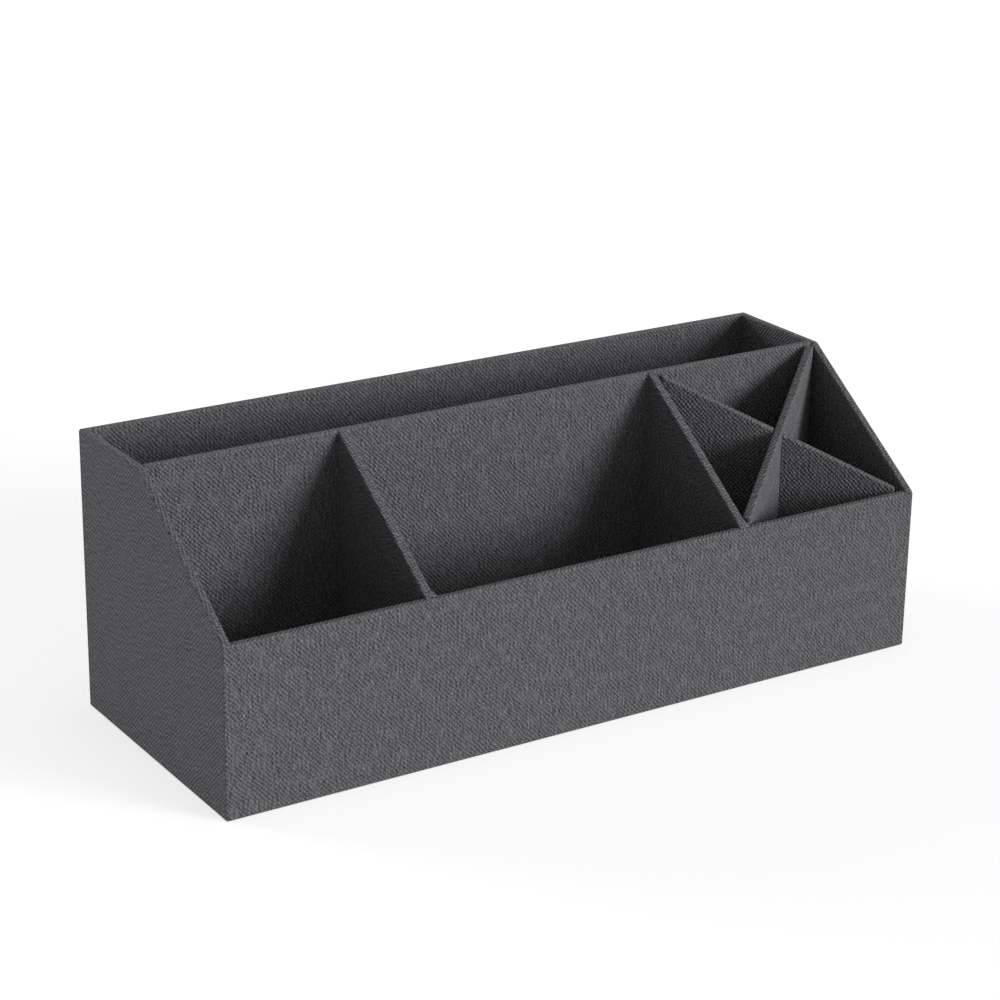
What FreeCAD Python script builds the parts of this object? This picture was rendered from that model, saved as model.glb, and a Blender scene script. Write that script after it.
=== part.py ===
import FreeCAD, Part
import os
import Sketcher

# A covered-board desk tray: stiff boards glued into an open box, dressed inside and out with paper.
# X runs along the length, Y from front to back, Z up. The origin is the middle of the underside.

# Driving sizes, in millimetres.
SIZES = {
    "length": 333,  # outside, end to end
    "depth": 124,  # outside, front to back
    "back_height": 121,  # rim of the back wall and of the long divider
    "front_height": 72,  # rim of the front wall
    "board": 3,  # thickness of every board
    "paper": 0.3,  # thickness of every paper
    "turn_in": 15,  # how far a covering is turned over an edge
    "base_inset": 3,  # how far the base sheet stays inside the outline
    "rear_slot": 47,  # clear depth of the slot behind the long divider
    "end_bay": 85,  # clear width of each end bay
    "panel_gap": 0.4,  # room between a cross panel's corners and its bay's walls
    "panel_drop": 0.2,  # how far the lower cross panel stays below the line from rim to rim
    "panel_rest": 1.4,  # how far the upper cross panel stands off the floor, on the lower one's slot
    "slot_room": 0.3,  # room around a cross panel in its slot
}

# Places worked out from the sizes. The half sizes are measured from the tray's middle.
PLACES = {
    "wall": "size.board + 2 * size.paper",
    "half_length": "size.length / 2",
    "half_depth": "size.depth / 2",
    "board_x": "half_length - size.paper",
    "board_y": "half_depth - size.paper",
    "lining_x": "board_x - size.board",
    "lining_y": "board_y - size.board",
    "bay_x": "lining_x - size.paper",
    "bay_y": "lining_y - size.paper",
    "under_z": "2 * size.paper",
    "bottom_top": "under_z + size.board",
    "floor_z": "bottom_top + size.paper",
    "long_back": "bay_y - size.rear_slot",
    "long_front": "long_back - wall",
    # The rim falls from the long divider's front face to the front wall's outer face.
    "slope": "(size.back_height - size.front_height) / (long_front + half_depth)",
    "slant": "sqrt(1 + slope ^ 2)",
    "kink_shift": "(slant - 1) / slope",
    "divider_face": "bay_x - size.end_bay",
    # The pen cross stands on the diagonals of the right-hand bay, and falls from the long divider's rim
    # to the front wall's rim.
    "bay_depth": "long_front + bay_y",
    "cross_x": "bay_x - size.end_bay / 2",
    "cross_y": "(long_front - bay_y) / 2",
    "cross_angle": "atan(bay_depth / size.end_bay)",
    "reach_by_width": "(size.end_bay - 2 * size.panel_gap - wall * sin(cross_angle)) / cos(cross_angle)",
    "reach_by_depth": "(bay_depth - 2 * size.panel_gap - wall * cos(cross_angle)) / sin(cross_angle)",
    "panel_half": "min(reach_by_width; reach_by_depth) / 2",
    "panel_top": "(size.back_height + size.front_height) / 2 - size.panel_drop",
    "panel_slope": "(size.back_height - size.front_height) * cos(cross_angle) / size.end_bay",
    "panel_slant": "sqrt(1 + panel_slope ^ 2)",
    "slot_half": "wall * (1 + abs(cos(2 * cross_angle))) / sin(2 * cross_angle) / 2 + size.slot_room",
    "slot_z": "(floor_z + panel_top) / 2",
}

doc = FreeCAD.newDocument("desk_tray")
size = doc.addObject("Spreadsheet::Sheet", "size")
at = doc.addObject("Spreadsheet::Sheet", "at")
for row, (word, amount) in enumerate(SIZES.items(), start=1):
    size.set(f"A{row}", word)
    size.set(f"B{row}", str(amount))
    size.setAlias(f"B{row}", word)
for row, (word, formula) in enumerate(PLACES.items(), start=1):
    at.set(f"A{row}", word)
    at.setAlias(f"B{row}", word)
for row, formula in enumerate(PLACES.values(), start=1):
    at.set(f"B{row}", "=" + formula)
doc.recompute()

nodes = []


def keep(piece):
    """Marks a document object as one of the tray's pieces, with its name as its label."""
    piece.Label = piece.Name
    nodes.append(piece)
    return piece


def block(name, low, high):
    """A rectangular block between two corners, each three formulas."""
    made = doc.addObject("Part::Box", name)
    for side, axis, start, end in zip(("Length", "Width", "Height"), "xyz", low, high):
        made.setExpression(side, f"({end}) - ({start})")
        made.setExpression(f"Placement.Base.{axis}", start)
    return made


def polygon(body, role, name, corners):
    """A closed sketch of straight lines on a body's own plane. Each corner is two formulas."""
    sketch = body.newObject("Sketcher::SketchObject", name)
    plane = next(part for part in body.Origin.OriginFeatures if part.Role == role)
    sketch.AttachmentSupport = (plane, [""])
    sketch.MapMode = "FlatFace"
    spots = [FreeCAD.Vector(*[at.evalExpression(text) for text in corner]) for corner in corners]
    ends = spots[1:] + spots[:1]
    for start, end in zip(spots, ends):
        sketch.addGeometry(Part.LineSegment(start, end))
    for line in range(len(corners)):
        following = (line + 1) % len(corners)
        sketch.addConstraint(Sketcher.Constraint("Coincident", line, 2, following, 1))
    for line, (corner, spot) in enumerate(zip(corners, spots)):
        for kind, text, place in zip(("DistanceX", "DistanceY"), corner, spot):
            index = sketch.addConstraint(Sketcher.Constraint(kind, -1, 1, line, 1, place))
            sketch.renameConstraint(index, f"{kind}_{line}")
            sketch.setExpression(f"Constraints.{kind}_{line}", text)
    return sketch


def plate(name, corners, start_x, thickness):
    """A flat piece that stands across the tray: an outline in Y and Z, and its span along X."""
    body = doc.addObject("PartDesign::Body", name)
    pad = body.newObject("PartDesign::Pad", name + "_pad")
    pad.Profile = polygon(body, "YZ_Plane", name + "_outline", corners)
    pad.setExpression("Length", thickness)
    body.setExpression("Placement.Base.x", start_x)
    body.Tip = pad
    return body


def covering(name, solid, *covered):
    """The paper that is left of a solid when everything that it covers is taken out."""
    inside = covered[0]
    if len(covered) > 1:
        inside = doc.addObject("Part::MultiFuse", name + "_inside")
        inside.Shapes = list(covered)
    paper = doc.addObject("Part::Cut", name)
    paper.Base = solid
    paper.Tool = inside
    paper.Refine = True
    return keep(paper)


def rim(y_place, drop):
    """Height of the sloping rim at a place, less a drop measured square to the slope."""
    return f"size.front_height + at.slope * ({y_place} + at.half_depth) - ({drop}) * at.slant"


def end_outline(y_half, low, drop):
    """Outline of an end wall: level along the rear slot, then falling to the front."""
    level = f"size.back_height - ({drop})"
    return [
        (f"-{y_half}", low),
        (y_half, low),
        (y_half, level),
        (f"at.long_front + ({drop}) * at.kink_shift", level),
        (f"-{y_half}", rim(f"-{y_half}", drop)),
    ]


def divider_outline(front, drop):
    """Outline of a cross divider, from its front end to the long divider's face."""
    return [
        (front, "at.floor_z"),
        ("at.long_front", "at.floor_z"),
        ("at.long_front", rim("at.long_front", drop)),
        (front, rim(front, drop)),
    ]


# Boards of the box: the end boards run the full depth, the front and back boards stand between them,
# and the bottom board lies inside all four.
bottom_board = keep(
    block(
        "bottom_board",
        ("-at.lining_x", "-at.lining_y", "at.under_z"),
        ("at.lining_x", "at.lining_y", "at.bottom_top"),
    )
)
front_board = keep(
    block(
        "front_board",
        ("-at.lining_x", "-at.board_y", "at.under_z"),
        ("at.lining_x", "-at.lining_y", "size.front_height - size.paper"),
    )
)
back_board = keep(
    block(
        "back_board",
        ("-at.lining_x", "at.lining_y", "at.under_z"),
        ("at.lining_x", "at.board_y", "size.back_height - size.paper"),
    )
)
end_board = end_outline("at.board_y", "at.under_z", "size.paper")
left_end_board = keep(plate("left_end_board", end_board, "-at.board_x", "size.board"))
right_end_board = keep(plate("right_end_board", end_board, "at.lining_x", "size.board"))

# Papers inside the box: they reach up to the edges of the wall papers, which turn in over the rim.
front_lining = keep(
    block(
        "front_lining",
        ("-at.bay_x", "-at.lining_y", "at.bottom_top"),
        ("at.bay_x", "-at.bay_y", "size.front_height - size.turn_in"),
    )
)
back_lining = keep(
    block(
        "back_lining",
        ("-at.bay_x", "at.bay_y", "at.bottom_top"),
        ("at.bay_x", "at.lining_y", "size.back_height - size.turn_in"),
    )
)
end_lining = end_outline("at.lining_y", "at.bottom_top", "size.turn_in")
left_end_lining = keep(plate("left_end_lining", end_lining, "-at.lining_x", "size.paper"))
right_end_lining = keep(plate("right_end_lining", end_lining, "at.bay_x", "size.paper"))
keep(
    block(
        "floor_lining",
        ("-at.bay_x", "-at.bay_y", "at.bottom_top"),
        ("at.bay_x", "at.bay_y", "at.floor_z"),
    )
)

# The wall papers: each covers the outside of one wall, turns over its rim down to the lining and turns
# under the base. A wall has three layers, from the outside in: paper, board and paper.
FACES_X = ("at.half_length", "at.board_x", "at.lining_x", "at.bay_x")
FACES_Y = ("at.half_depth", "at.board_y", "at.lining_y", "at.bay_y")
LAYERS = ("size.paper", "size.board", "size.paper")
LAYER_FEET = ("at.under_z", "at.under_z", "at.bottom_top")
UNDER_X = "(at.half_length - size.turn_in)"
UNDER_Y = "(at.half_depth - size.turn_in)"


def wrap(wall, layers, under, board, lining):
    """The paper over one wall: its layers and the strip under the base, less the board and lining."""
    whole = doc.addObject("Part::MultiFuse", wall + "_whole")
    whole.Shapes = layers + [under]
    covering(wall + "_wrap", whole, board, lining)


# The front and back papers end where the end papers start, so the seams lie on the upright corners.
for wall, top, board, lining in (
    ("front", "size.front_height", front_board, front_lining),
    ("back", "size.back_height", back_board, back_lining),
):
    layers = []
    for outer, inner, half, foot in zip(FACES_Y, FACES_Y[1:], FACES_X[1:], LAYER_FEET):
        near, far = (f"-{outer}", f"-{inner}") if wall == "front" else (inner, outer)
        name = f"{wall}_layer_{len(layers)}"
        layers.append(block(name, (f"-{half}", near, foot), (half, far, top)))
    near, far = ("-at.half_depth", f"-{UNDER_Y}") if wall == "front" else (UNDER_Y, "at.half_depth")
    low = (f"-{UNDER_X}", near, "size.paper")
    under = block(f"{wall}_under", low, (UNDER_X, far, "at.under_z"))
    wrap(wall, layers, under, board, lining)

# The end papers run the full depth, and a cheek covers the end board's inside above the front rim.
CHEEK = [
    ("-at.half_depth", "size.front_height"),
    ("-at.lining_y", "size.front_height"),
    ("-at.lining_y", rim("-at.lining_y", "0")),
]
for wall, board, lining in (
    ("left_end", left_end_board, left_end_lining),
    ("right_end", right_end_board, right_end_lining),
):
    layers = []
    for outer, inner, half, foot, thickness in zip(FACES_X, FACES_X[1:], FACES_Y, LAYER_FEET, LAYERS):
        near = f"-{outer}" if wall == "left_end" else inner
        name = f"{wall}_layer_{len(layers)}"
        layers.append(plate(name, end_outline(half, foot, "0"), near, thickness))
    layers.append(plate(f"{wall}_cheek", CHEEK, near, thickness))
    near, far = ("-at.half_length", f"-{UNDER_X}") if wall == "left_end" else (UNDER_X, "at.half_length")
    low = (near, "-at.half_depth", "size.paper")
    under = block(f"{wall}_under", low, (far, "at.half_depth", "at.under_z"))
    wrap(wall, layers, under, board, lining)

# The base sheet closes the underside.
keep(
    block(
        "base_sheet",
        ("size.base_inset - at.half_length", "size.base_inset - at.half_depth", "0"),
        ("at.half_length - size.base_inset", "at.half_depth - size.base_inset", "size.paper"),
    )
)

# The long divider: its cover takes the front face and turns over the top edge to the back.
long_divider_board = keep(
    block(
        "long_divider_board",
        ("-at.bay_x", "at.long_front + size.paper", "at.floor_z"),
        ("at.bay_x", "at.long_back - size.paper", "size.back_height - size.paper"),
    )
)
long_divider_facing = keep(
    block(
        "long_divider_facing",
        ("-at.bay_x", "at.long_back - size.paper", "at.floor_z"),
        ("at.bay_x", "at.long_back", "size.back_height - size.turn_in"),
    )
)
long_divider_whole = block(
    "long_divider_whole",
    ("-at.bay_x", "at.long_front", "at.floor_z"),
    ("at.bay_x", "at.long_back", "size.back_height"),
)
covering("long_divider_cover", long_divider_whole, long_divider_board, long_divider_facing)

# The two cross dividers: each cover takes the right face, turns over the sloping edge to the left and
# closes the front end, which stands proud of the front wall's rim.
for hand, left_face in (("left", "-at.divider_face"), ("right", "at.divider_face - at.wall")):
    name = f"{hand}_divider"
    board_face = f"{left_face} + size.paper"
    board_outline = divider_outline("size.paper - at.bay_y", "size.paper")
    board = keep(plate(name + "_board", board_outline, board_face, "size.board"))
    facing_outline = divider_outline("-at.bay_y", "size.turn_in")
    facing = keep(plate(name + "_facing", facing_outline, left_face, "size.paper"))
    divider_whole = plate(name + "_whole", divider_outline("-at.bay_y", "0"), left_face, "at.wall")
    covering(name + "_cover", divider_whole, board, facing)


def cross_panel(name, turn, rise, slot_low, slot_high, inset, thickness):
    """One layer of a slotted panel of the pen cross, standing on edge with its rear end high."""
    half = f"(at.panel_half - {inset})"
    low = f"at.floor_z + {rise}"
    body = doc.addObject("PartDesign::Body", name)
    outline = []
    for end in (f"-{half}", half):
        top = f"at.panel_top + {rise} + {end} * at.panel_slope - ({inset}) * at.panel_slant"
        outline.append([(end, low), (end, top)])
    (front_low, front_top), (rear_low, rear_top) = outline
    pad = body.newObject("PartDesign::Pad", name + "_pad")
    pad.Profile = polygon(
        body, "XZ_Plane", name + "_outline", [front_low, rear_low, rear_top, front_top]
    )
    pad.SideType = "Symmetric"
    pad.setExpression("Length", thickness)
    pocket = body.newObject("PartDesign::Pocket", name + "_slot")
    pocket.Profile = polygon(
        body,
        "XZ_Plane",
        name + "_slot_outline",
        [
            ("-at.slot_half", slot_low),
            ("at.slot_half", slot_low),
            ("at.slot_half", slot_high),
            ("-at.slot_half", slot_high),
        ],
    )
    pocket.SideType = "Symmetric"
    pocket.Type = "ThroughAll"
    body.setExpression("Placement.Base.x", "at.cross_x")
    body.setExpression("Placement.Base.y", "at.cross_y")
    body.setExpression("Placement.Rotation.Angle", turn)
    body.Tip = pocket
    return body


# The pen cross: the lower panel is slotted from above, the upper one from below, and they halve
# their height where they cross. Each cover wraps both faces, the top edge and the two ends.
above_panels = "size.back_height + at.wall"
CROSS = {
    "lower_panel": ("180 deg - at.cross_angle", "0", "at.slot_z", above_panels),
    "upper_panel": ("at.cross_angle", "size.panel_rest", "-at.wall", "at.slot_z + size.slot_room"),
}
for name, stand in CROSS.items():
    board = keep(cross_panel(name + "_board", *stand, "size.paper", "size.board"))
    panel_whole = cross_panel(name + "_whole", *stand, "0", "at.wall")
    covering(name + "_cover", panel_whole, board)

doc.recompute()

for thing in doc.Objects:
    if "Invalid" in thing.State or "Error" in thing.State:
        raise RuntimeError(f"{thing.Name} did not build: {thing.State}")
for node in nodes:
    if node.Shape.isNull() or not node.Shape.isValid() or len(node.Shape.Solids) != 1:
        raise RuntimeError(f"{node.Label} is not one sound solid")

os.makedirs("parts", exist_ok=True)
for node in nodes:
    node.Shape.exportStep(f"parts/{node.Label}.step")
    print(f"{node.Label}: {node.Shape.Volume:.1f} cubic millimetres")
print(f"{len(nodes)} pieces")
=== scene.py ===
# %% [markdown]
# # A desk tray of covered board
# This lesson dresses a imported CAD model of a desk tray. The real one is made as a bookbinder makes a box:
# stiff grey boards are glued up into an open tray, and paper with a canvas weave pressed into it is drawn
# over every wall. The CAD model has each board and each paper as its own solid, so it settles all the sizes.
# The boards can stay as they are. The papers are folded anew here, because real paper goes round the edge of
# a board in a small curve, and its weave runs on over the fold.

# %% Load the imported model
import math

import bmesh
import bpy
from mathutils import Matrix, Vector


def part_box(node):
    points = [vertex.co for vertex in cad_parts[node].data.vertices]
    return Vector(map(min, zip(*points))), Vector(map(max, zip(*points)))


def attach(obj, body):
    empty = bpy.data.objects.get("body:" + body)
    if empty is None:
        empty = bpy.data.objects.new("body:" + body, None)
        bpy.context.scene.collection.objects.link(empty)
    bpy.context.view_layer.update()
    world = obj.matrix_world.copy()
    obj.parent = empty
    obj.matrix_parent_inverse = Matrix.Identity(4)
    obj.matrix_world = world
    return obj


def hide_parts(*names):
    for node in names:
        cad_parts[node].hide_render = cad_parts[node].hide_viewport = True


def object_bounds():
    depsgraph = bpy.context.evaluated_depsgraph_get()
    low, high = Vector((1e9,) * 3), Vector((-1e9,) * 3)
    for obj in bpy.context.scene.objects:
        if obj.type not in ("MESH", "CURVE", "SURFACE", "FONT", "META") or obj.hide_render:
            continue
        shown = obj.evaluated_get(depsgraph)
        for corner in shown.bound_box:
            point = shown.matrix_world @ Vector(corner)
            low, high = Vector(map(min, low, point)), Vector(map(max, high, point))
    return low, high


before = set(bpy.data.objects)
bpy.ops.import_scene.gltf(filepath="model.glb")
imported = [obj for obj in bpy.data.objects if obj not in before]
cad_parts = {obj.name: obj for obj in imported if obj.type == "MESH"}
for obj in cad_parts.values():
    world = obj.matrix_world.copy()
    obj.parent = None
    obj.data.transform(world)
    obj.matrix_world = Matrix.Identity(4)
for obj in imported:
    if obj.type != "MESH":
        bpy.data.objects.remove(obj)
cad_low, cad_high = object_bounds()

# %% [markdown]
# ## The sizes
# A paper has to fit its board to a fraction of a millimetre, so no length of the tray is typed in. Each one
# is read from the boxes of the CAD pieces. If the CAD model is made longer or lower, the papers follow.

# %% Read the sizes from the CAD pieces
MM = 0.001
HAIR = 0.01 * MM  # places that are nearer to each other than this are the same place


def low(node):
    return Vector(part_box(node)[0])


def high(node):
    return Vector(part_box(node)[1])


half_length, half_depth, back_rim = cad_high
paper = high("base_sheet").z
floor = high("floor_lining").z
front_rim = high("front_wrap").z
turn_in = front_rim - high("front_lining").z
bay_x = high("front_lining").x
bay_y = -high("front_lining").y
long_front = low("long_divider_cover").y
long_back = high("long_divider_cover").y
wall = long_back - long_front
slope = (back_rim - front_rim) / (long_front + half_depth)
slant = math.hypot(1, slope)
tray_mm = [round(side / MM) for side in (2 * half_length, 2 * half_depth, back_rim)]
print("tray", tray_mm, f"mm, walls {wall / MM:.1f} mm")


# %% The rim's height
def rim_at(y):
    """Height of an end wall's rim: level along the rear slot, then falling to the front."""
    return min(back_rim, front_rim + slope * (y + half_depth))


print(f"the rim falls from {rim_at(half_depth) / MM:.0f} to {rim_at(-half_depth) / MM:.0f} mm")

# %% [markdown]
# ## Folding paper
# A covering could be a box with rounded edges, but then its weave would be stretched or cut at each edge.
# Here it is made as in the workshop: a flat panel first, then flaps that are drawn out of its edges with
# `extrude_edge_only` and folded over. The sharp folds are rounded last with `bevel`. All folds of one radius
# are rounded in one go, so that corners where three folds meet close by themselves.


# %% A panel and its flaps
def panel(corners):
    """A flat panel of paper: one face, a UV map for the weave, and a mark for the faces that are folds."""
    bm = bmesh.new()
    bm.loops.layers.uv.new("weave")
    bm.faces.layers.float.new("fold")
    bm.faces.new([bm.verts.new(corner) for corner in corners])
    return bm


def edges_where(bm, test):
    """The edges whose two ends both pass a test of x, y and z."""
    return [edge for edge in bm.edges if all(test(*vert.co) for vert in edge.verts)]


def flap(bm, edges, place):
    """Draws new paper out of some edges and puts its corners at place(x, y, z). Gives the new outer edges."""
    made = bmesh.ops.extrude_edge_only(bm, edges=edges)["geom"]
    corners = {item for item in made if isinstance(item, bmesh.types.BMVert)}
    for corner in corners:
        corner.co = place(*corner.co)
    return [item for item in made if isinstance(item, bmesh.types.BMEdge) and set(item.verts) <= corners]


# %% Round the folds
ARRIS = 0.8 * MM  # radius of the paper where it goes over the edge of a board
CREASE = 0.3 * MM  # tighter radius on the upright corners and where it turns under the base
FOLD_STEPS = 4
SHARP = 0.9  # radians between two faces, from which the edge between them is a fold


def round_folds(bm, radius, edges=None):
    """Rounds the given edges, or every sharp fold of the sheet, and marks the new faces as folds."""
    bmesh.ops.remove_doubles(bm, verts=bm.verts, dist=HAIR)
    bm.normal_update()
    if edges is None:
        edges = [edge for edge in bm.edges if edge.is_manifold and edge.calc_face_angle() > SHARP]
    rounded = bmesh.ops.bevel(
        bm, geom=edges, offset=radius, offset_type="OFFSET", segments=FOLD_STEPS, profile=0.5,
        affect="EDGES", material=-1, clamp_overlap=False,
    )
    mark = bm.faces.layers.float["fold"]
    for face in rounded["faces"]:
        face[mark] = 1
    bm.normal_update()


def cut(bm, faces, place, normal):
    """Cuts some faces along a plane and keeps both sides."""
    edges = {edge for face in faces for edge in face.edges}
    verts = {vert for face in faces for vert in face.verts}
    bmesh.ops.bisect_plane(
        bm, geom=[*faces, *edges, *verts], dist=HAIR, plane_co=place, plane_no=normal
    )
    bm.normal_update()


# %% [markdown]
# ## Laying the sheet flat
# The weave has to keep its size and run on over every fold. The usual unwrap squeezes islands into a square.
# This one lays the sheet flat as it was before it was folded: it starts from the largest face and turns each
# neighbour about the edge that they share until the two lie in one plane. The flat places are kept as UVs in
# metres, so one number sets the pitch of the threads on all the papers.


# %% Unfold a sheet into its UV map
def unfold(bm, across, along, shift):
    """Lays the sheet flat around its largest face. Across and along are the ways of U and V on that face."""
    weave = bm.loops.layers.uv["weave"]
    flat = {}
    for first in sorted(bm.faces, key=lambda face: -face.calc_area()):
        hinges = [] if first in flat else [(edge, first) for edge in first.edges]
        flat.setdefault(first, Matrix.Identity(4))
        while hinges:
            hinge = max(hinges, key=lambda pair: pair[0].calc_length())
            hinges.remove(hinge)
            edge, face = hinge
            for neighbour in edge.link_faces:
                if neighbour not in flat:
                    pivot = Matrix.Translation(edge.verts[0].co)
                    turn = neighbour.normal.rotation_difference(face.normal).to_matrix().to_4x4()
                    flat[neighbour] = flat[face] @ pivot @ turn @ pivot.inverted()
                    hinges += [(other, neighbour) for other in neighbour.edges]
    for face, laid in flat.items():
        for loop in face.loops:
            spot = laid @ loop.vert.co
            loop[weave].uv = (spot.dot(across) + shift, spot.dot(along) + 2 * shift)


# %% [markdown]
# ## Shader maths as Python
# The weave is a formula: two sets of threads that pass over and under each other. Written node by node it
# would fill pages. A small class wraps a socket, so that `a * b + 1` adds its own Math nodes. A second class
# holds a node tree and makes every other node with one method, for materials and for the world's light alike.


# %% A number that flows between nodes
class Amount:
    """A shader value that can be used in ordinary arithmetic."""

    def __init__(self, maker, socket):
        self.maker = maker
        self.socket = socket

    def math(self, operation, *others):
        node = self.maker.node("ShaderNodeMath", {"operation": operation}, {})
        for slot, value in zip(node.inputs, (self, *others)):
            self.maker.feed(slot, value)
        return Amount(self.maker, node.outputs[0])

    def __add__(self, other):
        return self.math("ADD", other)

    def __sub__(self, other):
        return self.math("SUBTRACT", other)

    def __rsub__(self, other):
        return self.math("MULTIPLY", -1).math("ADD", other)

    def __mul__(self, other):
        return self.math("MULTIPLY", other)

    def __truediv__(self, other):
        return self.math("DIVIDE", other)

    __radd__ = __add__
    __rmul__ = __mul__

    def __abs__(self):
        return self.math("ABSOLUTE")

    def sine(self):
        return self.math("SINE")


# %% A tree of nodes
class Nodes:
    """A node tree that is put together step by step."""

    def __init__(self, tree):
        self.tree = tree
        tree.nodes.clear()

    def feed(self, slot, value):
        if isinstance(value, Amount):
            value = value.socket
        if isinstance(value, bpy.types.NodeSocket):
            self.tree.links.new(value, slot)
        else:
            slot.default_value = value

    def node(self, kind, settings, inputs):
        """A node of a kind, with its settings made first and then its sockets fed by name."""
        made = self.tree.nodes.new(kind)
        for word, value in settings.items():
            setattr(made, word, value)
        for word, value in inputs.items():
            self.feed(next(slot for slot in made.inputs if slot.enabled and slot.name == word), value)
        return made

    def noise(self, x, y, z, detail):
        """Soft cloudy noise from 0 to 1, with about one cloud to each unit of the coordinates."""
        spot = self.node("ShaderNodeCombineXYZ", {}, {"X": x, "Y": y, "Z": z}).outputs[0]
        made = self.node("ShaderNodeTexNoise", {}, {"Vector": spot, "Scale": 1.0, "Detail": detail})
        return Amount(self, made.outputs[0])

    def ramp(self, value, start, end):
        """0 below start, 1 above end, and a smooth rise between them."""
        settings = {"interpolation_type": "SMOOTHSTEP"}
        made = self.node("ShaderNodeMapRange", settings, {"Value": value, "From Min": start, "From Max": end})
        return Amount(self, made.outputs[0])

    def blend(self, amount, first, second):
        """A colour between two others."""
        settings = {"data_type": "RGBA"}
        made = self.node("ShaderNodeMix", settings, {"Factor": amount, "A": first, "B": second})
        return next(out for out in made.outputs if out.enabled)

    def seen(self):
        """1 for what the camera sees, straight or in a mirror or glass, and 0 for all other light."""
        ray = self.node("ShaderNodeLightPath", {}, {})
        seen = Amount(self, ray.outputs["Is Camera Ray"])
        for kind in ("Is Glossy Ray", "Is Transmission Ray"):
            seen = seen.math("MAXIMUM", Amount(self, ray.outputs[kind]))
        return seen


# %% A finish
class Finish(Nodes):
    """A material with one Principled shader."""

    def __init__(self, name):
        self.material = bpy.data.materials.new(name)
        self.material.use_nodes = True
        super().__init__(self.material.node_tree)
        self.shader = self.node("ShaderNodeBsdfPrincipled", {}, {})
        self.node("ShaderNodeOutputMaterial", {}, {"Surface": self.shader.outputs["BSDF"]})

    def dress(self, **inputs):
        """Feeds sockets of the shader. A name has _ where the socket's name has a space."""
        for word, value in inputs.items():
            self.feed(self.shader.inputs[word.replace("_", " ")], value)

    def emboss(self, depth, height):
        """Gives the surface a relief, as deep as the height times a depth."""
        made = self.node("ShaderNodeBump", {}, {"Distance": depth, "Height": height})
        self.dress(Normal=made.outputs["Normal"])

    def spot(self):
        """X, Y and Z of a place on the piece itself, for pieces that have no UV map."""
        place = self.node("ShaderNodeTexCoord", {}, {}).outputs["Object"]
        sides = self.node("ShaderNodeSeparateXYZ", {}, {"Vector": place})
        return [Amount(self, side) for side in sides.outputs]


# %% [markdown]
# ## The canvas paper
# The covering paper is dyed charcoal and pressed with a plain weave of about one thread to a millimetre. The
# press isn't even: threads wander, some patches are flattened, and now and then a thicker thread, a slub,
# runs upright for a centimetre. A checker texture would be too tidy. The product of two sines gives the bumps
# of a plain weave, and soft noise bends the threads and thins them out. A thread is lighter or darker than
# its neighbour: the noise here is taken from the noise one thread further on, which leaves no large blotches.
# The last number of a noise but one only keeps it apart from the others, and the numbers in the sums below
# are the shares of the effects, found by comparing renders with the real paper. The share of the bumps in the
# colour is painted shade: it darkens the low places of the weave, as if shade lay in its hollows.

# %% The weave as height
THREAD_U = 0.97 * MM
THREAD_V = 1.0 * MM
WANDER = 2.0  # how far a thread wanders to the side, in threads
BEND = 0.11  # bends of a wandering thread, to one thread's width
PATCH = 0.17  # flattened patches, to one thread's width
CHANGE = 0.22  # how quickly a thread changes along its length

canvas = Finish("canvas_paper")
flat_place = canvas.node("ShaderNodeUVMap", {"uv_map": "weave"}, {}).outputs["UV"]
sides = canvas.node("ShaderNodeSeparateXYZ", {}, {"Vector": flat_place})
u = Amount(canvas, sides.outputs["X"]) / THREAD_U
v = Amount(canvas, sides.outputs["Y"]) / THREAD_V
fold_attribute = canvas.node("ShaderNodeAttribute", {"attribute_name": "fold"}, {})
on_fold = Amount(canvas, fold_attribute.outputs["Fac"])

bent_u = u + (canvas.noise(u * BEND, v * BEND, 1.0, 1.0) - 0.5) * WANDER
bent_v = v + (canvas.noise(u * BEND, v * BEND, 7.0, 1.0) - 0.5) * WANDER
over_under = (bent_u * math.pi).sine() * (bent_v * math.pi).sine()
pressed = canvas.ramp(canvas.noise(u * PATCH, v * PATCH, 3.0, 2.0), 0.28, 0.55) * 0.7 + 0.3
uneven = canvas.noise(u * 1.1, v * 1.1, 5.0, 1.0) - 0.5
upright_threads = canvas.noise(u + 1, v * CHANGE, 11.0, 1.0) - canvas.noise(u, v * CHANGE, 11.0, 1.0)
level_threads = canvas.noise(u * CHANGE, v + 1, 17.0, 1.0) - canvas.noise(u * CHANGE, v, 17.0, 1.0)
slub = canvas.ramp(canvas.noise(u * 0.8, v * 0.085, 23.0, 0.0), 0.76, 0.86)
grain = canvas.noise(u * 2.2, v * 2.2, 29.0, 2.0) - 0.5
bumps = (over_under * 0.6 + abs(over_under) * 0.12) * (1 + uneven * 1.6) * pressed * (1 - on_fold * 0.2)
threads = upright_threads * 0.93 + level_threads * 0.34 + slub * 0.08
height = bumps + threads * 0.45 + uneven * 0.6 + grain * 0.5
print("the weave has", len(canvas.tree.nodes), "nodes so far")

# %% The weave as colour
CHARCOAL_DARK = (0.0225, 0.0225, 0.026, 1)
CHARCOAL_PALE = (0.195, 0.193, 0.206, 1)
RELIEF = 0.6 * MM

# painted shade: bumps * 0.45 darkens the hollows of the weave; threads, uneven and grain are the paper's own
# tone
tone_and_hollow_shade = canvas.ramp(bumps * 0.45 + threads * 1.3 + uneven * 0.7 + grain * 1.3, -1.1, 1.1)
clouds = canvas.noise(u * 0.02, v * 0.02, 31.0, 2.0) - 0.5
fleck = canvas.ramp(canvas.noise(u * 1.5, v * 1.5, 37.0, 0.0), 0.68, 0.76)
shade = tone_and_hollow_shade + clouds * 0.06 + fleck * 0.4 + on_fold * 0.02
canvas.dress(
    Base_Color=canvas.blend(shade, CHARCOAL_DARK, CHARCOAL_PALE),
    Roughness=0.86 - tone_and_hollow_shade * 0.16,
    Specular_IOR_Level=0.3,
)
canvas.emboss(RELIEF, height)
print("canvas paper:", len(canvas.tree.nodes), "nodes")

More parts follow.
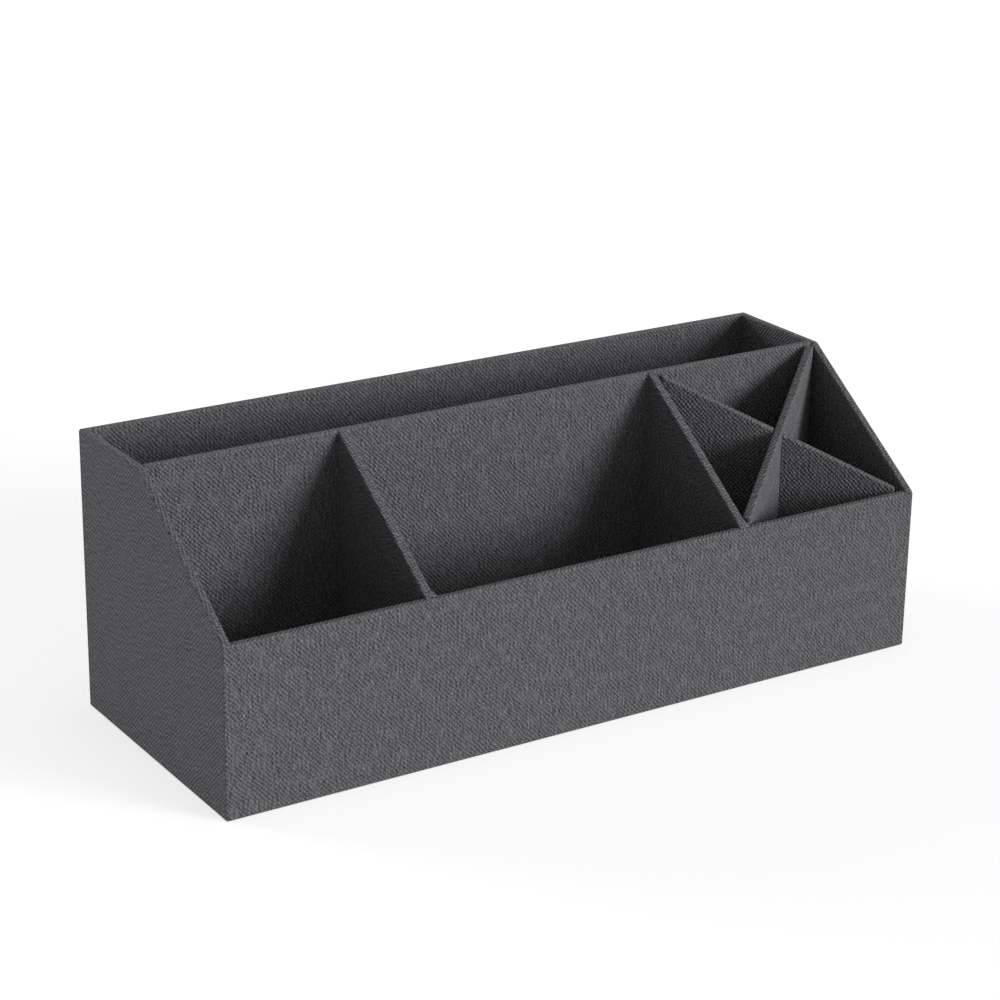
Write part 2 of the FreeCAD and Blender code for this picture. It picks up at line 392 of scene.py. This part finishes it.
# %% [markdown]
# ## From folded sheet to piece
# The sheet so far has no thickness. A Solidify modifier gives it the thickness of the real paper, inwards, so
# that its outside stays where the CAD paper has it. A Weighted Normal modifier keeps the large faces looking
# flat beside their narrow rounded folds. Each piece stands for one CAD paper and rides on that paper's body.

# %% Put a sheet on the tray
SHIFT = 0.137  # metres from one sheet's place on the roll to the next, so that no two look the same
papers = []


def lay(node, body, bm, across, along):
    """Makes the piece that stands for a CAD paper. Across and along are the ways of U and V on it."""
    unfold(bm, Vector(across), Vector(along), SHIFT * len(papers))
    mesh = bpy.data.meshes.new(node + "_sheet")
    bm.to_mesh(mesh)
    bm.free()
    mesh.shade_smooth()
    mesh.materials.append(canvas.material)
    piece = bpy.data.objects.new(node + "_sheet", mesh)
    bpy.context.scene.collection.objects.link(piece)
    thickness = piece.modifiers.new("paper", "SOLIDIFY")
    thickness.thickness = paper
    thickness.offset = -1
    thickness.use_even_offset = True
    piece.modifiers.new("flat_faces", "WEIGHTED_NORMAL")
    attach(piece, body)
    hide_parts(node)
    papers.append(piece)
    print(f"{piece.name}: {len(mesh.polygons)} faces")


LEVEL = (1, 0, 0)
DEEP = (0, 1, 0)
UPRIGHT = (0, 0, 1)

# %% [markdown]
# ## The front and back wall papers
# These two cover the long walls: up the outside, over the rim, a finger's width down the inside, and under
# the base. At the upright corners they come round for a millimetre, and a tab goes on beneath the end paper,
# so no bare board shows in the seam. Near the rim the end papers take over the corner, so there the long
# papers are cut back to the room between the end walls.

# %% The long wall papers
LIP = 0.9 * MM  # how far the long papers come round the upright corners
SEAM = 0.12 * MM  # open seam between two papers
TAB = 2 * MM  # paper under the seam
TUCK = 0.5 * paper  # how far the tab lies below the seam


def long_wall_paper(side, rim):
    """The paper over the front wall (side -1) or the back wall (side 1), before its corners are cut."""
    out_y = side * half_depth
    start, end = side * half_length, -side * half_length
    bm = panel([(start, out_y, paper), (end, out_y, paper), (end, out_y, rim), (start, out_y, rim)])
    top = edges_where(bm, lambda x, y, z: z > rim - HAIR)
    over = flap(bm, top, lambda x, y, z: (x, side * bay_y, z))
    flap(bm, over, lambda x, y, z: (x, y, z - turn_in))
    foot = edges_where(bm, lambda x, y, z: z < paper + HAIR)
    flap(bm, foot, lambda x, y, z: (x, y - side * turn_in, z))
    round_folds(bm, CREASE, foot)
    round_folds(bm, ARRIS)
    return bm


def cut_corners(bm, rim):
    """Cuts a long wall paper back where the end papers cover the corners."""
    corner_top = rim - LIP - SEAM
    under_x = half_length - turn_in
    for x in (-bay_x, bay_x):
        cut(bm, bm.faces[:], (x, 0, 0), LEVEL)
    cut(bm, bm.faces[:], (0, 0, corner_top), UPRIGHT)
    for x in (-under_x, under_x):
        cut(bm, [face for face in bm.faces if face.calc_center_median().z < paper + HAIR], (x, 0, 0), LEVEL)
    gone = []
    for face in bm.faces:
        x, y, z = face.calc_center_median()
        outside = abs(y) > half_depth - ARRIS and z < corner_top
        if abs(x) > bay_x and not outside or abs(x) > under_x and z < paper + HAIR:
            gone.append(face)
    bmesh.ops.delete(bm, geom=gone, context="FACES")


def turn_corners(bm, side):
    """Brings a long wall paper round the upright corners and tucks its tabs under the end papers."""

    def on_corner(x, y, z):
        return abs(x) > half_length - HAIR and abs(y) > half_depth - HAIR and z > paper + CREASE - HAIR

    upright = edges_where(bm, on_corner)
    lip = flap(bm, upright, lambda x, y, z: (x, y - side * LIP, z))
    step = flap(bm, lip, lambda x, y, z: (x - math.copysign(TUCK, x), y, z))
    flap(bm, step, lambda x, y, z: (x, y - side * TAB, z))
    round_folds(bm, CREASE, upright)


for node, side, rim in (("front_wrap", -1, front_rim), ("back_wrap", 1, back_rim)):
    sheet = long_wall_paper(side, rim)
    cut_corners(sheet, rim)
    turn_corners(sheet, side)
    lay(node, "tray", sheet, LEVEL, UPRIGHT)

# %% [markdown]
# ## The end papers
# An end paper goes on last, so its edges lie on top, just inside the upright corners. Over the sloping rim it
# covers the whole thickness of the wall, and at both ends of the rim it closes the corner with a small cap.
# Its weave is turned by a quarter against the front's: the slubs run level here.

# %% The end papers
ON_RIM = 0.5  # a face with more of Z than this in its normal lies on the rim


def turned_down(x, y, z, drop):
    """Where a corner on the rim lands when the paper is turned in by a drop, square to the rim."""
    if y > long_front + HAIR:
        return (x, y, z - drop)
    if y > long_front - HAIR:
        return (x, y + drop * (slant - 1) / slope, z - drop)
    return (x, y, z - drop * slant)


def end_paper(side):
    """The paper over the left end wall (side -1) or the right one (side 1)."""
    room_x = side * bay_x
    seam_y = half_depth - LIP - SEAM
    outline = [(-seam_y, paper), (seam_y, paper), (seam_y, back_rim - LIP), (half_depth, back_rim - LIP)]
    outline += [(half_depth, back_rim), (long_front, back_rim), (-half_depth, front_rim)]
    outline += [(-half_depth, front_rim - LIP), (-seam_y, front_rim - LIP)]
    bm = panel([(side * half_length, y, z) for y, z in outline[::side]])
    rim = edges_where(bm, lambda x, y, z: z > rim_at(y) - HAIR)
    caps = edges_where(bm, lambda x, y, z: abs(y) > half_depth - HAIR)
    foot = edges_where(bm, lambda x, y, z: z < paper + HAIR)
    flap(bm, rim + caps, lambda x, y, z: (room_x, y, z))
    flap(bm, foot, lambda x, y, z: (x - side * turn_in, y, z))
    bmesh.ops.remove_doubles(bm, verts=bm.verts, dist=HAIR)
    bm.normal_update()
    for y in (-bay_y, bay_y):
        cut(bm, [face for face in bm.faces if face.normal.z > ON_RIM], (0, y, 0), DEEP)
    inner = edges_where(bm, lambda x, y, z: abs(x - room_x) < HAIR and z > rim_at(y) - HAIR)
    cheek = [edge for edge in inner if max(vert.co.y for vert in edge.verts) < HAIR - bay_y]
    inside = [edge for edge in inner if all(abs(vert.co.y) < bay_y + HAIR for vert in edge.verts)]
    flap(bm, cheek, lambda x, y, z: (x, y, front_rim))
    flap(bm, inside, lambda x, y, z: turned_down(x, y, z, turn_in))
    under = edges_where(bm, lambda x, y, z: z < paper + HAIR and abs(x) > half_length - HAIR)
    round_folds(bm, CREASE, under)
    round_folds(bm, ARRIS)
    return bm


for node, side in (("left_end_wrap", -1), ("right_end_wrap", 1)):
    lay(node, "tray", end_paper(side), UPRIGHT, DEEP)

# %% [markdown]
# ## The linings
# The linings are the papers of the inside. They are pasted in after the wall papers, so each one laps a
# millimetre over the edge that is turned in, and stands a tenth of a millimetre proud of it. That small step
# is the fine line that runs along the inside of the walls.

# %% The linings of walls and floor
LAP = 1.0 * MM  # how far a lining covers the edge that is turned in
PROUD = 0.1 * MM  # how far it stands out from the turned-in paper
lining_drop = turn_in - LAP


def wall_lining(side, rim):
    """The lining of the front wall (side -1) or the back wall (side 1)."""
    y = side * (bay_y - PROUD)
    start, end = -side * bay_x, side * bay_x
    top = rim - lining_drop
    return panel([(start, y, floor), (end, y, floor), (end, y, top), (start, y, top)])


def end_lining(side):
    """The lining of the left end wall (side -1) or the right one (side 1)."""
    x = side * (bay_x - PROUD)
    outline = [(-bay_y, floor), (bay_y, floor)]
    outline += [turned_down(x, y, rim_at(y), lining_drop)[1:] for y in (bay_y, long_front, -bay_y)]
    return panel([(x, y, z) for y, z in outline[::-side]])


lay("front_lining", "tray", wall_lining(-1, front_rim), LEVEL, UPRIGHT)
lay("back_lining", "tray", wall_lining(1, back_rim), LEVEL, UPRIGHT)
lay("left_end_lining", "tray", end_lining(-1), DEEP, UPRIGHT)
lay("right_end_lining", "tray", end_lining(1), DEEP, UPRIGHT)
lay(
    "floor_lining", "tray",
    panel([(-bay_x, -bay_y, floor), (bay_x, -bay_y, floor), (bay_x, bay_y, floor), (-bay_x, bay_y, floor)]),
    DEEP, LEVEL,
)

# %% [markdown]
# ## The long divider
# One board makes the slot along the back. Its cover takes the front face, goes over the top edge and turns in
# behind, and a facing closes the rest of the back.

# %% The long divider's papers
cover = panel(
    [(-bay_x, long_front, floor), (bay_x, long_front, floor), (bay_x, long_front, back_rim),
     (-bay_x, long_front, back_rim)]
)
top = edges_where(cover, lambda x, y, z: z > back_rim - HAIR)
over = flap(cover, top, lambda x, y, z: (x, long_back, z))
flap(cover, over, lambda x, y, z: (x, y, z - turn_in))
round_folds(cover, ARRIS)
lay("long_divider_cover", "tray", cover, LEVEL, UPRIGHT)

facing_y = long_back + PROUD
facing_top = back_rim - lining_drop
lay(
    "long_divider_facing", "tray",
    panel([(bay_x, facing_y, floor), (-bay_x, facing_y, floor), (-bay_x, facing_y, facing_top),
           (bay_x, facing_y, facing_top)]),
    LEVEL, UPRIGHT,
)

# %% [markdown]
# ## The cross dividers
# A cross divider is covered on its right face, over the sloping edge and a little way down its left face. At
# the foot of the slope it stands a few millimetres above the front wall. There the paper runs on as a tongue
# that comes down on the front rim, with a fold on either side. A second scrap of paper spreads from the
# tongue over the corner between the divider and the wall.

# %% The cross dividers' covers
SPREAD = 2.8 * MM  # how far the scrap of paper reaches along the front wall
ROOT = ARRIS / 4  # how deep the scrap starts in the rounded edge of the divider
PASTE = 0.4 * MM  # how much the paste thickens the left side, where two papers meet


def divider_cover(left_x, right_x):
    """The cover of a cross divider, from its right face over the slope to its left face."""
    front = PROUD - bay_y
    tongue_y = ARRIS - half_depth
    bm = panel(
        [(right_x, front, floor), (right_x, long_front, floor), (right_x, long_front, back_rim),
         (right_x, front, rim_at(front))]
    )
    top = edges_where(bm, lambda x, y, z: z > rim_at(y) - HAIR)
    over = flap(bm, top, lambda x, y, z: (left_x, y, z))
    flap(bm, over, lambda x, y, z: (x, y, z - turn_in * slant))
    end = edges_where(bm, lambda x, y, z: y < front + HAIR and z > rim_at(y) - HAIR)
    flap(bm, end, lambda x, y, z: (x, tongue_y, front_rim + PROUD))
    tongue = edges_where(bm, lambda x, y, z: y < front + HAIR and z > front_rim)
    rims = [edge for edge in tongue if edge.is_boundary]
    sides = [edge for edge in rims if abs(edge.verts[0].co.x - edge.verts[1].co.x) < HAIR]
    flap(bm, sides, lambda x, y, z: (x, y, front_rim - PROUD))
    round_folds(bm, ARRIS)
    return bm


def add_spread(bm, right_x):
    """Adds the scrap of paper over the corner between a divider's foot and the front wall."""
    front = PROUD - bay_y
    inside = right_x - ROOT
    on_rim = front_rim + PROUD
    corners = [
        (inside, front + ARRIS, rim_at(front) - ROOT), (inside, ARRIS - half_depth, on_rim),
        (right_x + SPREAD, front, on_rim),
    ]
    bm.faces.new([bm.verts.new(corner) for corner in corners])
    bm.normal_update()
    outer = edges_where(bm, lambda x, y, z: y > front - HAIR and x > inside - HAIR and z > front_rim)
    long_side = [edge for edge in outer if edge.is_boundary and edge.verts[0].co.x != edge.verts[1].co.x]
    flap(bm, long_side, lambda x, y, z: (x, y, front_rim - LIP))
    bm.normal_update()


# %% The cross dividers' facings
def divider_facing(left_x):
    """The facing of a cross divider's left face, below the paper that is turned in."""
    x = left_x - PROUD
    outline = [(long_front, floor), (-bay_y, floor)]
    outline += [(y, rim_at(y) - lining_drop * slant) for y in (-bay_y, long_front)]
    return panel([(x, y, z) for y, z in outline])


for name in ("left_divider", "right_divider"):
    left_x, right_x = low(name + "_cover").x - PASTE, high(name + "_cover").x
    sheet = divider_cover(left_x, right_x)
    add_spread(sheet, right_x)
    lay(name + "_cover", "tray", sheet, DEEP, UPRIGHT)
    lay(name + "_facing", "tray", divider_facing(left_x), DEEP, UPRIGHT)

# %% [markdown]
# ## The pen cross
# Two loose panels stand on the diagonals of the right-hand bay. Each has a slot to half its height, one from
# above and one from below, so they slide into each other. A panel is cut out as a flat outline with its slot
# and extruded to its thickness. The panels don't cross at a right angle, so the slot has to slant through the
# thickness: its corners are moved one way on the front and the other way on the back. Then the bottom and the
# slot are opened, because the paper covers only the faces, the top and the two ends.

# %% The outline of a panel
SLOT_PLAY = 0.25 * MM  # room in a slot, on either side and at its end
bay_width = bay_x - high("right_divider_cover").x
bay_angle = math.atan2(long_front + bay_y, bay_width)
panel_fall = (back_rim - front_rim) * math.cos(bay_angle) / bay_width
slot_half = wall / math.sin(2 * bay_angle) / 2 + SLOT_PLAY


def panel_outline(node, from_above):
    """Outline of a slotted panel, as distances along it and heights, then its half length and its middle."""
    near, far = low(node), high(node)
    half = ((far.x - near.x) / 2 - wall / 2 * math.sin(bay_angle)) / math.cos(bay_angle)
    top = far.z - half * panel_fall
    slot = floor + (top - near.z) / 2
    outline = [(-half, near.z), (half, near.z)]
    outline += [(s, top + s * panel_fall) for s in (half, -half)]
    if from_above:
        cheeks = [(s, top + s * panel_fall) for s in (slot_half, -slot_half)]
        outline[3:3] = [cheeks[0], (slot_half, slot), (-slot_half, slot), cheeks[1]]
    else:
        slot += SLOT_PLAY
        outline[1:1] = [(-slot_half, near.z), (-slot_half, slot), (slot_half, slot), (slot_half, near.z)]
    return outline, half, (near + far) / 2


# %% The papers of the pen cross
SQUARE = 0.99  # cosine from which a face is square to a direction


def panel_paper(node, from_above, turn, other_turn):
    """The paper round a panel of the pen cross. The turns say which way it and the other panel point."""
    outline, half, middle = panel_outline(node, from_above)
    run = Vector((math.cos(turn), math.sin(turn), 0))
    through = Vector((math.sin(turn), -math.cos(turn), 0))
    centre = Vector((middle.x, middle.y, 0))
    bm = panel([centre - through * wall / 2 + run * s + Vector((0, 0, z)) for s, z in outline])
    made = bmesh.ops.extrude_face_region(bm, geom=bm.faces[:], use_keep_orig=True)["geom"]
    moved = [item for item in made if isinstance(item, bmesh.types.BMVert)]
    bmesh.ops.translate(bm, verts=moved, vec=through * wall)
    bmesh.ops.recalc_face_normals(bm, faces=bm.faces)
    open_faces = []
    for face in bm.faces:
        away = abs((face.calc_center_median() - centre).dot(run))
        slot_wall = abs(face.normal.dot(run)) > SQUARE and away < half - HAIR
        if slot_wall or abs(face.normal.z) > SQUARE:
            open_faces.append(face)
    bmesh.ops.delete(bm, geom=open_faces, context="FACES")
    for vert in bm.verts:
        if abs((vert.co - centre).dot(run)) < slot_half + HAIR:
            vert.co -= run * (vert.co - centre).dot(through) / math.tan(other_turn - turn)
    round_folds(bm, ARRIS)
    return bm, run


for node, body, from_above, turn, other_turn in (
    ("lower_panel_cover", "lower_panel", True, math.pi - bay_angle, bay_angle),
    ("upper_panel_cover", "upper_panel", False, bay_angle, math.pi - bay_angle),
):
    sheet, run = panel_paper(node, from_above, turn, other_turn)
    lay(node, body, sheet, run, UPRIGHT)

# %% [markdown]
# ## The boards and the base
# The boards stay as CAD pieces. Their raw edges show only in the slots and under the panels of the pen cross,
# and there they are grey pulp with pale and dark fibres. The base sheet under the tray is plain dark paper.
# Both finishes read Object coordinates, because CAD pieces have no UV map.

# %% Grey board
PULP_DARK = (0.25, 0.23, 0.195, 1)
PULP_PALE = (0.47, 0.43, 0.37, 1)
FUZZ = 0.06 * MM

greyboard = Finish("greyboard")
x, y, z = greyboard.spot()
pulp = greyboard.noise(x * 900, y * 900, z * 2200, 3.0)
fibre = greyboard.ramp(greyboard.noise(x * 2600, y * 700, z * 2600, 1.0), 0.60, 0.75)
greyboard.dress(
    Base_Color=greyboard.blend(pulp * 0.8 + fibre * 0.5 - 0.1, PULP_DARK, PULP_PALE),
    Roughness=0.95 - fibre * 0.12,
)
greyboard.emboss(FUZZ, pulp + fibre * 0.5)

# %% Base paper
BASE_DARK = (0.034, 0.034, 0.036, 1)
BASE_PALE = (0.066, 0.066, 0.070, 1)
TOOTH = 0.04 * MM

base_paper = Finish("base_paper")
x, y, z = base_paper.spot()
felt = base_paper.noise(x * 1400, y * 1400, z * 1400, 3.0)
rubbed = base_paper.ramp(base_paper.noise(x * 60, y * 60, 0.0, 3.0), 0.45, 0.75)
base_paper.dress(
    Base_Color=base_paper.blend(felt * 0.6 + rubbed * 0.4, BASE_DARK, BASE_PALE),
    Roughness=0.9 - rubbed * 0.2,
)
base_paper.emboss(TOOTH, felt)

# %% Put the finishes on the CAD pieces
for name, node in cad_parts.items():
    finish = greyboard if name.endswith("_board") else base_paper if name == "base_sheet" else canvas
    node.data.materials.clear()
    node.data.materials.append(finish.material)
print("finished", len(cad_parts), "CAD pieces")

# %% [markdown]
# ## Floor and light
# The tray stands on a wide pale floor in soft light from all round, as in a light tent. One large soft lamp
# from the front right and one from the rear left graze the walls, so that the weave shows, and a weaker one
# hangs overhead. The floor glows for the camera alone. That makes it white in the picture, keeps the tray's
# shadow on it, and leaves the light on the tray as it is.

# %% The floor
FLOOR_REACH = 6  # metres from the tray to the edges of the floor
FLOOR_GREY = (0.6, 0.6, 0.6, 1)
FLOOR_GLOW = (0.64, 0.64, 0.64, 1)
NO_GLOW = (0, 0, 0, 1)
CONTACT = 0.5 * MM  # width of the rim under the tray in which the floor's glow fades out

floor_mesh = bpy.data.meshes.new("studio_floor")
bm = bmesh.new()
bmesh.ops.create_grid(bm, x_segments=1, y_segments=1, size=FLOOR_REACH)
bm.to_mesh(floor_mesh)
bm.free()
studio_floor = bpy.data.objects.new("studio_floor", floor_mesh)
bpy.context.scene.collection.objects.link(studio_floor)

pale = Finish("studio_white")
floor_mesh.materials.append(pale.material)
x, y, _ = pale.spot()
beside = pale.ramp(abs(x), half_length - CONTACT, half_length)
beside = beside.math("MAXIMUM", pale.ramp(abs(y), half_depth - CONTACT, half_depth))
pale.dress(
    Base_Color=FLOOR_GREY,
    Roughness=0.9,
    Specular_IOR_Level=0.1,
    Emission_Color=pale.blend(pale.seen() * beside, NO_GLOW, FLOOR_GLOW),
    Emission_Strength=1.0,
)

# %% The light
WHITE = (1, 1, 1, 1)
SKY = 0.2  # strength of the light from all round
BACKDROP = 1.0  # strength of the white that the camera sees

world = bpy.data.worlds.new("light_tent")
world.use_nodes = True
bpy.context.scene.world = world
tent = Nodes(world.node_tree)
choose = tent.node("ShaderNodeMixShader", {}, {"Fac": tent.seen()})
for slot, strength in zip(choose.inputs[1:], (SKY, BACKDROP)):
    shine = tent.node("ShaderNodeBackground", {}, {"Color": WHITE, "Strength": strength})
    tent.feed(slot, shine.outputs["Background"])
tent.node("ShaderNodeOutputWorld", {}, {"Surface": choose.outputs["Shader"]})


def soft_lamp(name, way, strength, width):
    """A wide, soft lamp that shines from a direction, as wide as an angle in degrees."""
    light = bpy.data.lights.new(name, "SUN")
    light.angle = math.radians(width)
    light.energy = strength
    lamp = bpy.data.objects.new(name, light)
    lamp.location = way
    lamp.rotation_euler = Vector(way).to_track_quat("Z", "Y").to_euler()
    bpy.context.scene.collection.objects.link(lamp)


soft_lamp("front_right_lamp", way=(1.0, -1.35, 0.32), strength=3.0, width=26)
soft_lamp("rear_left_lamp", way=(-0.85, 1.2, 0.35), strength=1.25, width=26)
soft_lamp("overhead_lamp", way=(0.0, -0.1, 1.5), strength=0.5, width=35)

# %% [markdown]
# ## The camera
# The camera was found by fitting the corners of the tray, and then its outline, to their places in the
# photograph: a long lens, a bit over a metre away, from the front left and above, and tilted by less than a
# degree. Its place is kept as three angles, a point and a focal length. The picture's middle is the lens's
# middle, so it needs no shift.

# %% The camera
AZIMUTH, ELEVATION, ROLL = (math.radians(angle) for angle in (-32.772, 20.291, 0.830))
PLACE = (-0.57986, -0.89190, 0.47249)
FOCAL_LENGTH = 97.695  # millimetres
SENSOR = 36  # millimetres

right = Vector((math.cos(AZIMUTH), math.sin(AZIMUTH), 0))
level_back = Vector((math.sin(AZIMUTH), -math.cos(AZIMUTH), 0))
back = level_back * math.cos(ELEVATION) + Vector(UPRIGHT) * math.sin(ELEVATION)
turned = Matrix((right, back.cross(right), back)).transposed() @ Matrix.Rotation(ROLL, 3, "Z")
eye = bpy.data.cameras.new("camera")
eye.sensor_width = SENSOR
eye.lens = FOCAL_LENGTH
camera = bpy.data.objects.new("camera", eye)
camera.matrix_world = Matrix.Translation(PLACE) @ turned.to_4x4()
bpy.context.scene.collection.objects.link(camera)
bpy.context.scene.camera = camera
bpy.context.scene.view_settings.view_transform = "Standard"
print("camera at", tuple(round(value, 3) for value in camera.location))
